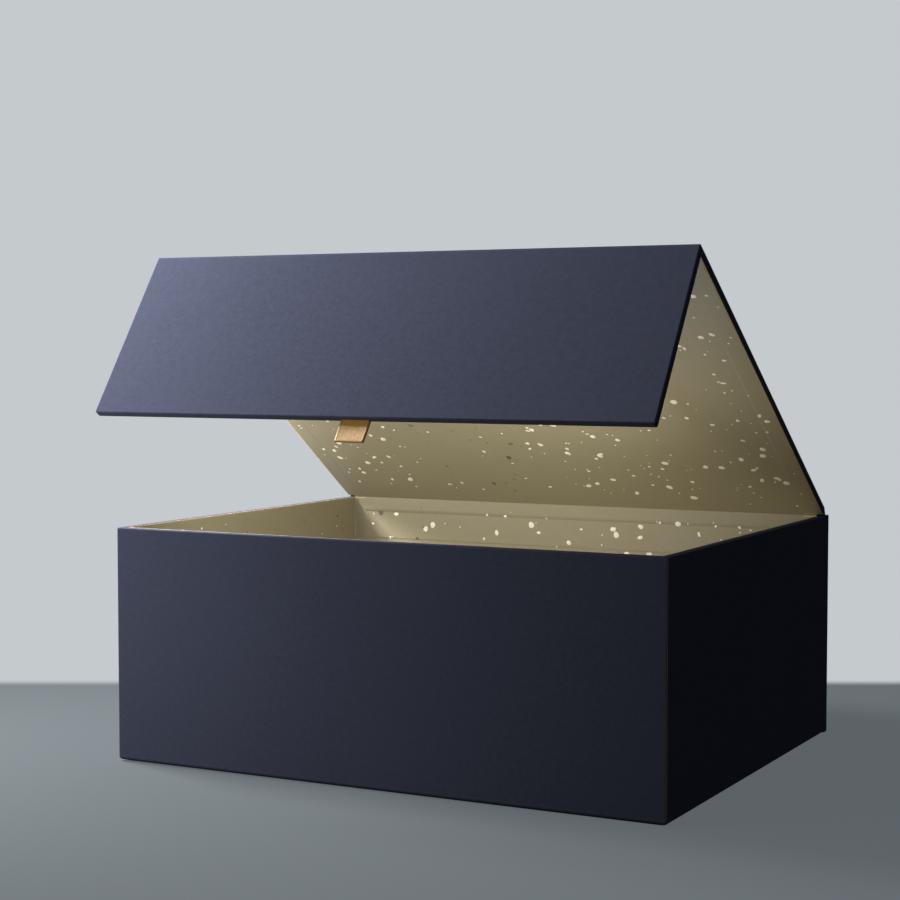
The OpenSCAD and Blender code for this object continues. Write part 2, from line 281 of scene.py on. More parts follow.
def bridge_paper(name, places, look, start, end, slot, side_radius=0.45 * MM, half_w=None):
    """Paper that bridges a hinge: a path in the Y-Z plane carried along X, whose left and right edges turn in
    by a quarter circle along the path's normal."""
    half_w = HALF_W if half_w is None else half_w
    way = np.gradient(places, axis=0)
    way /= np.linalg.norm(way, axis=1)[:, None]
    inward = np.column_stack([-way[:, 1], way[:, 0]])
    angle = np.linspace(0, math.pi / 2, 5)
    edge_x = half_w - side_radius * (1 - np.cos(angle))
    edge_depth = side_radius * (1 - np.sin(angle))
    x = np.concatenate([-edge_x, [-edge_x[-1] + 0.3 * MM, edge_x[-1] - 0.3 * MM], edge_x[::-1]])
    depth = np.concatenate([edge_depth, [0, 0], edge_depth[::-1]])
    yz = places[:, None, :] + depth[None, :, None] * inward[:, None, :]
    points = np.concatenate([np.broadcast_to(x[None, :, None], yz.shape[:2] + (1,)), yz], -1)
    rows, cols = points.shape[:2]
    quads = grid_quads(rows, cols)[:, ::-1].tolist()
    made = add_piece(name, points, quads, look, slot=slot, values={"fold": np.zeros(rows * cols)})
    give_thickness(made, PAPER_T)
    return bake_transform(made)


def lid_yz(forward, up):
    """The Y and Z in the frame of a place on the open lid."""
    return on_lid(0.0, np.asarray(forward), np.asarray(up))[..., 1:]


# Shapes of the lining


def border_rise(distance, turn_in):
    """Height of a lining over the turned-in paper under it: the step that the glue leaves within the turn-in,
    fading out over most of a millimetre, and a little less at the glued edge."""
    step = bpy.context.scene.box_lining.border_step
    over = 1 - smooth_step(distance, turn_in - 0.1 * MM, turn_in + 0.7 * MM)
    return step * (over - 0.5 * (1 - smooth_step(distance, 0, 0.35 * MM)))


def flat_lining(name, place, half_u, low_v, high_v, foot_v, look, body, node):
    """Lining glued over a panel: a grid of u and v whose height is the border rise of the distance to the
    nearest folded edge. place turns u, v and height into points."""
    near = np.array([0, 0.15, 0.35, 1, 4, 7, 7.4, 7.6, 7.8, 8, 8.2, 8.5, 12]) * MM
    u = np.concatenate([-half_u + near, np.linspace(-half_u + 30 * MM, half_u - 30 * MM, 9),
                        (half_u - near)[::-1]])
    v = np.concatenate([low_v + near, np.linspace(low_v + 30 * MM, high_v - 30 * MM, 7),
                        (high_v - near)[::-1]])
    grid_u, grid_v = np.meshgrid(u, v)
    height = panel_height(grid_u, grid_v, foot_v)
    to_side = np.minimum(half_u - np.abs(grid_u), np.minimum(grid_v - low_v, high_v - grid_v))
    # Painted highlight: the edge value is 1 on the lining's last few tenths of a millimetre, which the gold
    # finish paints brighter.
    edge = 1 - smooth_step(to_side, 0.1 * MM, 0.4 * MM)
    points = place(grid_u, grid_v, height)
    made = add_piece(name, points, grid_quads(len(v), len(u)).tolist(), look, body, node, (node,),
                     {"edge": edge})
    return give_thickness(made, LINING_T)


def panel_height(u, v, foot_v):
    """Height of a panel's lining at u and v, from its distance to the left and right folds, and to the foot's
    fold where the panel has one."""
    inside = LINING_HALF_W - np.abs(u)
    if foot_v is not None:
        inside = np.minimum(inside, foot_v - v)
    return border_rise(inside, bpy.context.scene.box_paper.turn_in - (HALF_W - LINING_HALF_W))


def lid_place(u, v, height):
    """A place on the lid's underside: u along X, v from the hinge towards the ridge, height out of the
    lining."""
    return on_lid(u, v, PAPER_T - HALF_T - LIFT - height)


def flap_place(u, v, height):
    """A place on the flap's inner face: u along X, v down the flap, height out of the lining."""
    return on_lid(u, FLAP_INNER + PAPER_T - LIFT - height, -v)


# Width of the strip by which one wall's lining laps onto its neighbour at an upright corner
LAP_WIDTH = 6 * MM


def wall_place(axis, side):
    """A function for places on one inner wall of the tray, from u along it, the height v above the table and
    the height out of the lining. The walls stand at -side or +side along the axis."""
    def place(u, v, height):
        inset = wall_inset(2 * LAP_WIDTH, v, False) + height
        if axis == 0:
            return np.stack([side * (HALF_W - inset), TRAY_MID_Y - side * u, v], -1)
        return np.stack([side * u, TRAY_MID_Y + side * (TRAY_HALF_D - inset), v], -1)
    return place


def floor_place(u, v, height):
    """A place on the tray's floor: u along X, v along Y, height above the lining."""
    return np.stack([u, v + TRAY_MID_Y, FLOOR_Z + height], -1)


def wall_inset(to_corner, z, lapped):
    """Inset of the tray's lining from the tray's outside: deeper by one paper over the turned-in wrap, and
    where a wall's lining laps onto its neighbour near an upright corner, deeper by half a paper."""
    turn_z = RIM_Z - bpy.context.scene.box_paper.rim_turn_in
    rim = smooth_step(z, turn_z - 0.5 * MM, turn_z)
    lap = 1 - smooth_step(to_corner, LAP_WIDTH, LAP_WIDTH + 0.3 * MM)
    return WALL_LOWER + PAPER_T * rim + 0.5 * PAPER_T * lap * lapped


def tray_inner_lining(look):
    """The tray's lining: rings round the inside go from the rim down the walls, through a soft fold onto the
    floor and in to one closing face. Each ring's inset is the wall inset at its height."""
    lining = bpy.context.scene.box_lining
    fold = lining.inner_fold
    top = RIM_Z - LIFT
    turn_z = RIM_Z - bpy.context.scene.box_paper.rim_turn_in
    heights = np.concatenate([top - np.array([0, 0.15, 0.4, 2]) * MM,
                              turn_z + np.array([1, 0.1, 0, -0.1, -0.2, -0.3, -0.4, -0.5, -1]) * MM,
                              np.linspace(turn_z - 5 * MM, FLOOR_Z + fold + 5 * MM, 6)])
    profile = rounded_path([(0, FLOOR_Z + fold + 2 * MM), (0, FLOOR_Z), (12 * MM, FLOOR_Z)], [fold], steps=6)
    insets = np.concatenate([np.zeros(len(heights)), profile[1:, 0]])
    heights = np.concatenate([heights, profile[1:, 1]])
    corner = lining.corner_fold
    slides = np.array([0.3, 2, 5.2, 5.25, 5.35, 5.45, 5.5, 6, 20]) * MM
    columns = loop_columns(slides)
    spoke, shift = columns[1], columns[2]
    to_corner = np.abs(shift).sum(1) + corner
    lapped = np.abs(spoke[:, 1]) > 0.999
    wall = wall_inset(to_corner[None, :], heights[:, None], lapped[None, :])
    rings = loop_rings(columns, (HALF_W, TRAY_HALF_D), insets, np.full(len(insets), corner))
    rings = rings - wall[..., None] * np.where(np.abs(spoke) > 0.999, np.sign(spoke), columns[0])
    z = np.broadcast_to(heights[:, None], rings.shape[:2])
    points = np.stack([rings[..., 0], rings[..., 1] + TRAY_MID_Y, z], -1)
    rows, cols = rings.shape[:2]
    faces = grid_quads(rows, cols, closed=True).tolist()
    faces.append(list(range((rows - 1) * cols, rows * cols)))
    # Painted highlight: the edge value is 1 along the lining's top at the rim, which the gold finish paints
    # brighter.
    edge = np.broadcast_to(1 - smooth_step(top - z, 0.15 * MM, 0.45 * MM), rings.shape[:2])
    made = add_piece("tray_gold_lining", points, faces, look, "tray", "tray_lining", ("tray_lining",),
                     {"edge": edge})
    return give_thickness(made, LINING_T)


# Flecks and ribbon


# Most flecks are small: the power of a random share that gives their size
SIZE_POWER = 2.1
# Points round a fleck, its upper ring's share of the outline, and the heights of outline, ring and middle
FLECK_POINTS = 10
DOME_SHARE = 0.78
DOME_HEIGHTS = (-0.03 * MM, 0.035 * MM, 0.055 * MM)
# Tones of flecks painted dark, a painted reflection of shade in the foil, and of bright foil: least and
# greatest
DARK_TONES = (0.0, 0.28)
PALE_TONES = (0.62, 1.0)


def scattered_flecks(area, rng, dark_share):
    """Numbers for the flecks on one face: their places in the field, size, flatness, turn, tone and the two
    phases of their outline. There is one fleck for each square of the fleck spacing, and most are small: the
    size is the smallest plus the range times a power of a random share."""
    flecks = bpy.context.scene.box_flecks
    low_u, high_u, low_v, high_v = area
    count = max(1, round((high_u - low_u) * (high_v - low_v) / flecks.spacing ** 2))
    share = rng.random((8, count))
    radius = (flecks.smallest + (flecks.largest - flecks.smallest) * share[2] ** SIZE_POWER) / 2
    keep = 2 * radius
    u = low_u + keep + share[0] * (high_u - low_u - 2 * keep)
    v = low_v + keep + share[1] * (high_v - low_v - 2 * keep)
    # Painted reflection: the share of flecks given by dark_share take dark tones, as foil that mirrors shade.
    low, high = np.where(share[5] < dark_share(u), np.array(DARK_TONES)[:, None],
                         np.array(PALE_TONES)[:, None])
    tone = low + (high - low) * share[6]
    turn, first_phase, second_phase = 2 * math.pi * share[[4, 6, 7]]
    return u, v, radius, 0.6 + 0.38 * share[3], turn, tone, first_phase, second_phase


def fleck_piece(name, fields, look, body, node, seed):
    """Foil flecks pressed into a lining. Each is a low dome of two rings and a middle point, and its outline
    is radius * (1 + 0.1 cos(2a + first phase) + 0.06 cos(3a + second phase)), flattened and turned."""
    rng = np.random.default_rng(seed)
    around = FLECK_POINTS
    angle = np.arange(around) * 2 * math.pi / around
    ring = np.concatenate([np.ones(around), np.full(around, DOME_SHARE), [0]])
    lift = np.repeat(DOME_HEIGHTS, [around, around, 1])
    spin = np.concatenate([angle, angle, [0]])
    points, tones, marks = [], [], []
    for place, area, dark_share in fields:
        numbers = (column[:, None] for column in scattered_flecks(area, rng, dark_share))
        u, v, radius, flat, turn, tone, first, second = numbers
        outline = radius * (1 + 0.1 * np.cos(2 * spin + first) + 0.06 * np.cos(3 * spin + second)) * ring
        along, across = outline * np.cos(spin), flat * outline * np.sin(spin)
        place_u = u + along * np.cos(turn) - across * np.sin(turn)
        place_v = v + along * np.sin(turn) + across * np.cos(turn)
        height = np.broadcast_to(lift + surface_height(place, place_u, place_v), place_u.shape)
        points.append(place(place_u, place_v, height).reshape(-1, 3))
        tones.append(np.broadcast_to(tone, place_u.shape).ravel())
        marks.append(np.broadcast_to(1 - ring, place_u.shape).ravel())
    points = np.concatenate(points)
    step = np.arange(around)
    following = (step + 1) % around
    sides = np.column_stack([step, following, following + around, step + around])
    tops = np.column_stack([step + around, following + around, np.full(around, 2 * around)])
    first = np.arange(len(points) // (2 * around + 1))[:, None, None] * (2 * around + 1)
    faces = (sides + first).reshape(-1, 4).tolist() + (tops + first).reshape(-1, 3).tolist()
    faces += (step[::-1] + first[:, 0]).tolist()
    return add_piece(name, points, faces, look, body, node, (node,),
                     {"tone": np.concatenate(tones), "dome": np.concatenate(marks)})


def dark_in_middle(u):
    """Share of flecks painted dark at u, a painted reflection of shade: most of them left of the panel's
    middle.
    """
    return 0.7 * smooth_step(u, -0.08, -0.06) * (1 - smooth_step(u, -0.02, 0.01))


def dark_at_left(u):
    """Share of flecks painted dark at u, a painted reflection of shade: half of them at the left end."""
    return 0.5 * (1 - smooth_step(u, -0.09, -0.02))


def dark_evenly(share):
    """A function that gives the same share of flecks painted dark, a painted reflection of shade, everywhere.
    """
    return lambda u: np.full_like(u, share)


def surface_height(place, u, v):
    """Height of the lining that a fleck lies on, where the lining has a raised border."""
    if place is lid_place:
        return panel_height(u, v, None)
    if place is flap_place:
        return panel_height(u, v, -FLAP_LINING_LOW)
    return 0.0


def ribbon_sheet(look):
    """The folded ribbon. A path goes down its inner layer, round a half circle at the fold and up its outer
    layer, and is carried across the width. The sides draw in slightly at the fold, and each point carries its
    share of the width and its distance along the ribbon for the weave."""
    ribbon = bpy.context.scene.box_ribbon
    half_gap = (RIBBON_FAR - RIBBON_NEAR - ribbon.thickness) / 2
    mid = (RIBBON_FAR + RIBBON_NEAR) / 2
    fold_up = RIBBON_LOW + half_gap + ribbon.thickness / 2
    down = np.linspace(RIBBON_TOP, fold_up, 40)
    angle = np.linspace(0, math.pi, 11)[1:-1]
    forward = np.concatenate([np.full(40, mid - half_gap), mid - half_gap * np.cos(angle),
                              np.full(40, mid + half_gap)])
    up = np.concatenate([down, fold_up - half_gap * np.sin(angle), down[::-1]])
    along = np.concatenate([[0], np.cumsum(np.hypot(np.diff(forward), np.diff(up)))])
    across = np.linspace(-1, 1, 27)
    below = np.clip((FLAP_FOOT - up) / (FLAP_FOOT - RIBBON_LOW), 0, 1)[:, None]
    width = RIBBON_HALF_W * (1 - 0.03 * below ** 4)
    belly = 0.12 * MM * np.sin(math.pi * below) * (1 - across ** 2)
    selvedge = 0.05 * MM * smooth_step(np.abs(across), 0.86, 0.95)
    side = np.sign(forward - mid)[:, None]
    points = on_lid(width * across, forward[:, None] + side * selvedge - belly, up[:, None] + 0 * across)
    rows, cols = points.shape[:2]
    made = add_piece("ribbon_tab_weave", points, grid_quads(rows, cols).tolist(), look, "flap", "ribbon_tab",
                     ("ribbon_tab",))
    share = np.stack(np.broadcast_arrays((across + 1) / 2, along[:, None]), -1).reshape(-1, 2)
    corner = np.empty(len(made.data.loops), np.int32)
    made.data.loops.foreach_get("vertex_index", corner)
    made.data.uv_layers.new(name="Weave").data.foreach_set("uv", share[corner].astype(np.float32).ravel())
    give_thickness(made, ribbon.thickness, 0.0)
    return made


# Finishes


def add_node(tree, kind, inputs=None, **settings):
    """Adds a shader node, sets its properties, and fills its inputs with values or links."""
    made = tree.nodes.new(kind)
    for key, value in settings.items():
        setattr(made, key, value)
    for key, value in (inputs or {}).items():
        if isinstance(value, bpy.types.NodeSocket):
            tree.links.new(value, made.inputs[key])
        else:
            made.inputs[key].default_value = value
    return made


def math_node(tree, operation, *values):
    """One step of arithmetic on values or links."""
    made = add_node(tree, "ShaderNodeMath", operation=operation)
    for socket, value in zip(made.inputs, values):
        if isinstance(value, bpy.types.NodeSocket):
            tree.links.new(value, socket)
        else:
            socket.default_value = value
    return made.outputs[0]


def ramp_node(tree, value, low, high, to_low=0.0, to_high=1.0):
    """Maps a value from low..high to to_low..to_high, and holds it at the ends."""
    made = add_node(tree, "ShaderNodeMapRange", {"Value": value, "From Min": low, "From Max": high,
                                                 "To Min": to_low, "To Max": to_high})
    return made.outputs["Result"]


def mix_colour(tree, share, first, second):
    """The first colour where the share is 0, the second where it is 1, and their mix in between."""
    made = add_node(tree, "ShaderNodeMix", data_type="RGBA")
    for socket, value in zip((made.inputs[0], made.inputs[6], made.inputs[7]), (share, first, second)):
        if isinstance(value, bpy.types.NodeSocket):
            tree.links.new(value, socket)
        else:
            socket.default_value = value if isinstance(value, float) else (*value[:3], 1.0)
    return made.outputs[2]


def noise_node(tree, vector, scale, detail=2.0, roughness=0.5):
    """Noise with so many features per metre."""
    return add_node(tree, "ShaderNodeTexNoise", {"Vector": vector, "Scale": scale, "Detail": detail,
                                                 "Roughness": roughness}).outputs["Fac"]


def new_group(name, inputs, outputs):
    """A shader node group with named sockets. Returns the group, its input node and its output node."""
    group = bpy.data.node_groups.new(name, "ShaderNodeTree")
    for label, kind, value in inputs:
        socket = group.interface.new_socket(label, in_out="INPUT", socket_type=kind)
        if value is not None:
            socket.default_value = value
    for label, kind in outputs:
        group.interface.new_socket(label, in_out="OUTPUT", socket_type=kind)
    return group, group.nodes.new("NodeGroupInput"), group.nodes.new("NodeGroupOutput")


def paper_grain_group():
    """Paper fibre: Tooth is the fine tooth of the sheet, Cloud its slow unevenness, and Height their sum for
    a bump."""
    group, given, result = new_group(
        "Paper grain",
        [("Vector", "NodeSocketVector", None), ("Tooth Scale", "NodeSocketFloat", 1200.0),
         ("Cloud Scale", "NodeSocketFloat", 18.0)],
        [("Tooth", "NodeSocketFloat"), ("Cloud", "NodeSocketFloat"), ("Height", "NodeSocketFloat")])
    tooth = noise_node(group, given.outputs["Vector"], given.outputs["Tooth Scale"], 3.0, 0.6)
    coarse_scale = math_node(group, "MULTIPLY", given.outputs["Tooth Scale"], 0.3)
    coarse = noise_node(group, given.outputs["Vector"], coarse_scale, 2.0)
    cloud = noise_node(group, given.outputs["Vector"], given.outputs["Cloud Scale"], 3.0, 0.55)
    both = math_node(group, "ADD", math_node(group, "MULTIPLY", tooth, 0.6),
                     math_node(group, "MULTIPLY", coarse, 0.4))
    group.links.new(ramp_node(group, both, 0.32, 0.68), result.inputs["Tooth"])
    group.links.new(ramp_node(group, cloud, 0.3, 0.7), result.inputs["Cloud"])
    group.links.new(both, result.inputs["Height"])
    return group


def new_finish(name, roughness=0.6, **constants):
    """A material with a Principled BSDF. Returns the material, its tree, the shader and the Object
    coordinates."""
    look = bpy.data.materials.new(name)
    look.use_nodes = True
    tree = look.node_tree
    tree.nodes.clear()
    shader = add_node(tree, "ShaderNodeBsdfPrincipled", {"Roughness": roughness, **constants})
    result = add_node(tree, "ShaderNodeOutputMaterial", {"Surface": shader.outputs[0]})
    result.location, shader.location = (900, 0), (600, 0)
    return look, tree, shader, add_node(tree, "ShaderNodeTexCoord").outputs["Object"]


def grain_in(tree, vector, tooth_scale, cloud_scale):
    """The outputs of the paper grain with a material's own scales."""
    made = add_node(tree, "ShaderNodeGroup", node_tree=bpy.data.node_groups["Paper grain"])
    tree.links.new(vector, made.inputs["Vector"])
    made.inputs["Tooth Scale"].default_value = tooth_scale
    made.inputs["Cloud Scale"].default_value = cloud_scale
    return made.outputs


def add_bump(tree, shader, height, strength, distance):
    """Turns a height of 0 to 1 into relief. The distance is the relief of a height of 1, in metres."""
    bump = add_node(tree, "ShaderNodeBump", {"Height": height, "Strength": strength, "Distance": distance})
    tree.links.new(bump.outputs[0], shader.inputs["Normal"])


def attribute(tree, name):
    """A float that the piece carries on its points."""
    return add_node(tree, "ShaderNodeAttribute", attribute_name=name).outputs["Fac"]


def shaded(colour, factor):
    """A colour times a factor, no brighter than 1."""
    return tuple(min(1.0, channel * factor) for channel in colour[:3])


def navy_paper():
    """Matt navy wrapping paper: fine tooth, slow clouding, and a painted highlight that makes the folds a
    little lighter."""
    paper = bpy.context.scene.box_paper
    look, tree, shader, spot = new_finish("Navy wrapping paper",
                                          **{"Specular IOR Level": 0.0, "Sheen Weight": 0.01,
                                             "Sheen Roughness": 0.45})
    grain = grain_in(tree, spot, 1500.0, 16.0)
    base = mix_colour(tree, grain["Tooth"], shaded(paper.colour, 0.86), shaded(paper.colour, 1.15))
    base = mix_colour(tree, math_node(tree, "MULTIPLY", grain["Cloud"], 0.35), base,
                      shaded(paper.colour, 1.12))
    # Painted highlight: the folds are painted up to 1.7 times lighter, unevenly with the tooth.
    fold_highlight = math_node(tree, "MULTIPLY", attribute(tree, "fold"),
                       ramp_node(tree, grain["Tooth"], 0.2, 0.9, 0.15, 0.5))
    base = mix_colour(tree, fold_highlight, base, shaded(paper.colour, 1.7))
    tree.links.new(base, shader.inputs["Base Color"])
    tree.links.new(ramp_node(tree, grain["Cloud"], 0.0, 1.0, 0.56, 0.66), shader.inputs["Roughness"])
    add_bump(tree, shader, grain["Height"], 0.35, 0.00006)
    return look


def gold_paper():
    """Satin gold lining: fine mineral speckle, slow clouding, and a painted highlight in brighter gold along
    its edges.
    """
    lining = bpy.context.scene.box_lining
    look, tree, shader, spot = new_finish("Gold lining paper", **{"Specular IOR Level": 0.4})
    grain = grain_in(tree, spot, 1300.0, 14.0)
    base = mix_colour(tree, grain["Tooth"], shaded(lining.colour, 0.93), shaded(lining.colour, 1.06))
    base = mix_colour(tree, math_node(tree, "MULTIPLY", grain["Cloud"], 0.3), base,
                      shaded(lining.colour, 0.95))
    # Painted highlight: the lining's edges take the brighter edge colour.
    base = mix_colour(tree, attribute(tree, "edge"), base, lining.edge_highlight_colour)
    tree.links.new(base, shader.inputs["Base Color"])
    tree.links.new(ramp_node(tree, grain["Tooth"], 0.0, 1.0, 0.46, 0.56), shader.inputs["Roughness"])
    add_bump(tree, shader, grain["Height"], 0.25, 0.00005)
    return look


def foil():
    """Foil flecks: each has its own tone between dark brown, a painted reflection of shade, and pale gold,
    and a painted shade darkens the outline of its dome."""
    flecks = bpy.context.scene.box_flecks
    look, tree, shader, spot = new_finish("Pressed foil", 0.35, **{"Specular IOR Level": 0.6})
    tone = attribute(tree, "tone")
    # Painted reflection: low tones paint a fleck dark brown, as foil that mirrors shade.
    base = mix_colour(tree, ramp_node(tree, tone, 0.3, 0.62), flecks.dark_colour, flecks.pale_colour)
    base = mix_colour(tree, ramp_node(tree, tone, 0.0, 0.3, 0.0, 0.25), base, flecks.pale_colour)
    wrinkle = noise_node(tree, spot, 1800.0, 2.0)
    # Painted shade: the outline round the foot of each dome is darkened.
    base = mix_colour(tree, ramp_node(tree, attribute(tree, "dome"), 0.0, 0.12, 0.3, 0.0), base,
                      shaded(flecks.dark_colour, 2.2))
    base = mix_colour(tree, ramp_node(tree, wrinkle, 0.35, 0.7, 0.0, 0.12), base,
                      shaded(flecks.pale_colour, 0.7))
    tree.links.new(base, shader.inputs["Base Color"])
    add_bump(tree, shader, wrinkle, 0.3, 0.00004)
    return look


def woven_ribbon():
    """Satin ribbon: slanting floats of thread over a fine cross weave, darker at the selvedges and between
    threads, with streaks of painted sheen along the floats."""
    ribbon = bpy.context.scene.box_ribbon
    look, tree, shader, _ = new_finish("Woven ribbon", 0.42,
                                       **{"Specular IOR Level": 0.25, "Sheen Weight": 0.08,
                                          "Sheen Roughness": 0.35, "Anisotropic": 0.3})
    weave = add_node(tree, "ShaderNodeUVMap", uv_map="Weave").outputs[0]
    apart = add_node(tree, "ShaderNodeSeparateXYZ", {"Vector": weave})
    across = math_node(tree, "MULTIPLY", apart.outputs["X"], 2 * RIBBON_HALF_W)
    slant = math_node(tree, "ADD", across, math_node(tree, "MULTIPLY", apart.outputs["Y"], 0.55))
    lengthwise = math_node(tree, "SUBTRACT", apart.outputs["Y"], math_node(tree, "MULTIPLY", across, 0.55))
    sheared = add_node(tree, "ShaderNodeCombineXYZ", {"X": slant,
                                                      "Y": math_node(tree, "MULTIPLY", lengthwise, 0.16)})
    # Painted sheen: slanting streaks that lighten and darken the threads' colour along the floats.
    sheen_streak = noise_node(tree, sheared.outputs[0], 2600.0, 3.0, 0.6)
    thread = math_node(tree, "SINE", math_node(tree, "MULTIPLY", slant, 2 * math.pi / (0.42 * MM)))
    pick = math_node(tree, "SINE", math_node(tree, "MULTIPLY", apart.outputs["Y"], 2 * math.pi / (0.35 * MM)))
    relief = math_node(tree, "ADD", ramp_node(tree, thread, -1.0, 1.0, 0.0, 0.5),
                       ramp_node(tree, pick, -1.0, 1.0, 0.0, 0.15))
    relief = math_node(tree, "ADD", relief, ramp_node(tree, sheen_streak, 0.3, 0.7, 0.0, 0.5))
    base = mix_colour(tree, ramp_node(tree, relief, 0.25, 0.95), ribbon.shade_colour, ribbon.colour)
    to_edge = math_node(tree, "ABSOLUTE", math_node(tree, "SUBTRACT", apart.outputs["X"], 0.5))
    base = mix_colour(tree, ramp_node(tree, to_edge, 0.41, 0.49, 0.0, 0.85), base, ribbon.selvedge_colour)
    tree.links.new(base, shader.inputs["Base Color"])
    add_bump(tree, shader, relief, 0.5, 0.00012)
    return look


# Name, colour, roughness, metallic and features of the grain per metre
HIDDEN_FINISHES = [
    ("Greyboard", (0.30, 0.28, 0.245), 0.9, 0.0, 900.0),
    # Base card: nearly black, a painted shadow where its edge shows as a dark line under the tray's foot.
    ("Base card", (0.012, 0.013, 0.020), 0.75, 0.0, 900.0),
    ("Gummed paper", (0.38, 0.28, 0.17), 0.8, 0.0, 900.0),
    ("Plated steel", (0.62, 0.63, 0.65), 0.3, 1.0, 400.0),
]


def board(name, colour, roughness, metallic, tooth_scale):
    """Greyboard, card or plain metal of a part that the papers cover: mottled by the grain."""
    look, tree, shader, spot = new_finish(name, roughness, **{"Metallic": metallic})
    grain = grain_in(tree, spot, tooth_scale, 40.0)
    base = mix_colour(tree, grain["Tooth"], shaded(colour, 0.8), shaded(colour, 1.15))
    base = mix_colour(tree, math_node(tree, "MULTIPLY", grain["Cloud"], 0.4), base, shaded(colour, 0.85))
    tree.links.new(base, shader.inputs["Base Color"])
    add_bump(tree, shader, grain["Height"], 0.3, 0.00008)
    return look


def finish_named(name, make, *values):
    """The material of that name, made the first time that it is asked for."""
    if "Paper grain" not in bpy.data.node_groups:
        paper_grain_group()
    return bpy.data.materials.get(name) or make(*values)


# Stage


# Depth over which the floor turns into the backdrop at its far edge, and half the floor's width
FLOOR_FADE = 0.02
FLOOR_REACH = 12.0


def stage_floor_finish():
    """The floor is matt, with an even glow that the rays which see it pick up, and it ends at a straight edge
    behind the box, past which it has the backdrop's own colour. Rays that light other things meet a darker
    floor."""
    stage = bpy.context.scene.box_stage
    look = bpy.data.materials.new("Studio floor")
    look.use_nodes = True
    tree = look.node_tree
    tree.nodes.clear()
    spot = add_node(tree, "ShaderNodeTexCoord").outputs["Object"]
    behind = (-math.sin(stage.camera_azimuth), math.cos(stage.camera_azimuth), 0.0)
    away = add_node(tree, "ShaderNodeVectorMath", {0: spot, 1: behind},
                    operation="DOT_PRODUCT").outputs["Value"]
    seen = seen_rays(tree)
    colour = mix_colour(tree, seen, shaded(stage.floor_colour, stage.bounce), stage.floor_colour)
    matt = add_node(tree, "ShaderNodeBsdfDiffuse", {"Color": colour})
    glow = add_node(tree, "ShaderNodeEmission", {"Color": (*stage.floor_glow, 1.0), "Strength": seen})
    near = add_node(tree, "ShaderNodeAddShader", {0: matt.outputs[0], 1: glow.outputs[0]})
    far = add_node(tree, "ShaderNodeEmission", {"Color": (*stage.backdrop_colour, 1.0), "Strength": seen})
    span = {"Value": away, "From Min": stage.floor_end, "From Max": stage.floor_end + FLOOR_FADE}
    share = add_node(tree, "ShaderNodeMapRange", span,
                     interpolation_type="SMOOTHSTEP").outputs["Result"]
    mixed = add_node(tree, "ShaderNodeMixShader", {0: share, 1: near.outputs[0], 2: far.outputs[0]})
    add_node(tree, "ShaderNodeOutputMaterial", {"Surface": mixed.outputs[0]})
    return look


def seen_rays(tree):
    """1 for the rays that carry a picture of the surface: camera, glossy and transmission rays."""
    rays = add_node(tree, "ShaderNodeLightPath").outputs
    return math_node(tree, "MAXIMUM", rays["Is Camera Ray"],
                     math_node(tree, "MAXIMUM", rays["Is Glossy Ray"], rays["Is Transmission Ray"]))


def stage_world():
    """The backdrop for the rays that see it, and a dim even light for the rest."""
    stage = bpy.context.scene.box_stage
    world = bpy.data.worlds.new("Studio")
    bpy.context.scene.world = world
    world.use_nodes = True
    tree = world.node_tree
    tree.nodes.clear()
    seen = seen_rays(tree)
    colour = mix_colour(tree, seen, stage.ambient_colour, stage.backdrop_colour)
    strength = ramp_node(tree, seen, 0.0, 1.0, stage.ambient, 1.0)
    back = add_node(tree, "ShaderNodeBackground", {"Color": colour, "Strength": strength})
    add_node(tree, "ShaderNodeOutputWorld", {"Surface": back.outputs[0]})


def add_lamp(name, spot, target, size, watts):
    """A square softbox at a spot, turned towards a target."""
    lamp = bpy.data.lights.new(name, "AREA")
    lamp.shape, lamp.size, lamp.energy, lamp.color = "SQUARE", size, watts, LAMP_COLOUR
    made = bpy.data.objects.new(name, lamp)
    made.location = spot
    made.rotation_euler = (Vector(target) - Vector(spot)).to_track_quat("-Z", "Y").to_euler()
    made.visible_camera = False
    bpy.context.scene.collection.objects.link(made)


def add_camera():
    """The camera of the fitted picture: it stands at a spot, looks along an azimuth from +Y and a little
    down."""
    stage = bpy.context.scene.box_stage
    data = bpy.data.cameras.new("Camera")
    data.lens, data.sensor_width = stage.lens, 36.0
    data.clip_start, data.clip_end = 0.01, 50.0
    camera = bpy.data.objects.new("Camera", data)
    camera.location = stage.camera_spot
    turn, dip = stage.camera_azimuth, stage.camera_dip
    ahead = Vector((-math.sin(turn) * math.cos(dip), math.cos(turn) * math.cos(dip), -math.sin(dip)))
    camera.rotation_euler = ahead.to_track_quat("-Z", "Y").to_euler()
    bpy.context.scene.collection.objects.link(camera)
    bpy.context.scene.camera = camera


LAMP_COLOUR = (1.0, 0.985, 0.96)
# Name, place, target, side in metres and watts. The inner panels stand inside the open box.
LAMPS = [
    ("Side softbox", (-0.35, -0.07, 0.36), (0.0, -0.09, 0.18), 0.12, 6.4),
    ("Front panel", (-0.18, -0.30, 0.16), (-0.05, -0.10, 0.10), 0.12, 0.32),
    ("Near panel", (-0.30, -0.19, 0.08), (-0.02, -0.10, 0.05), 0.10, 0.28),
    ("Left inner panel", (-0.15, 0.02, 0.15), (0.10, 0.06, 0.11), 0.08, 0.11),
    ("Middle inner panel", (-0.05, -0.085, 0.125), (-0.05, 0.09, 0.11), 0.04, 0.054),
    ("Right inner panel", (0.05, -0.06, 0.13), (-0.12, 0.03, 0.09), 0.04, 0.11),
    ("Ridge inner panel", (0.08, -0.03, 0.10), (0.08, -0.05, 0.19), 0.04, 0.027),
]


# Settings, operators and panel


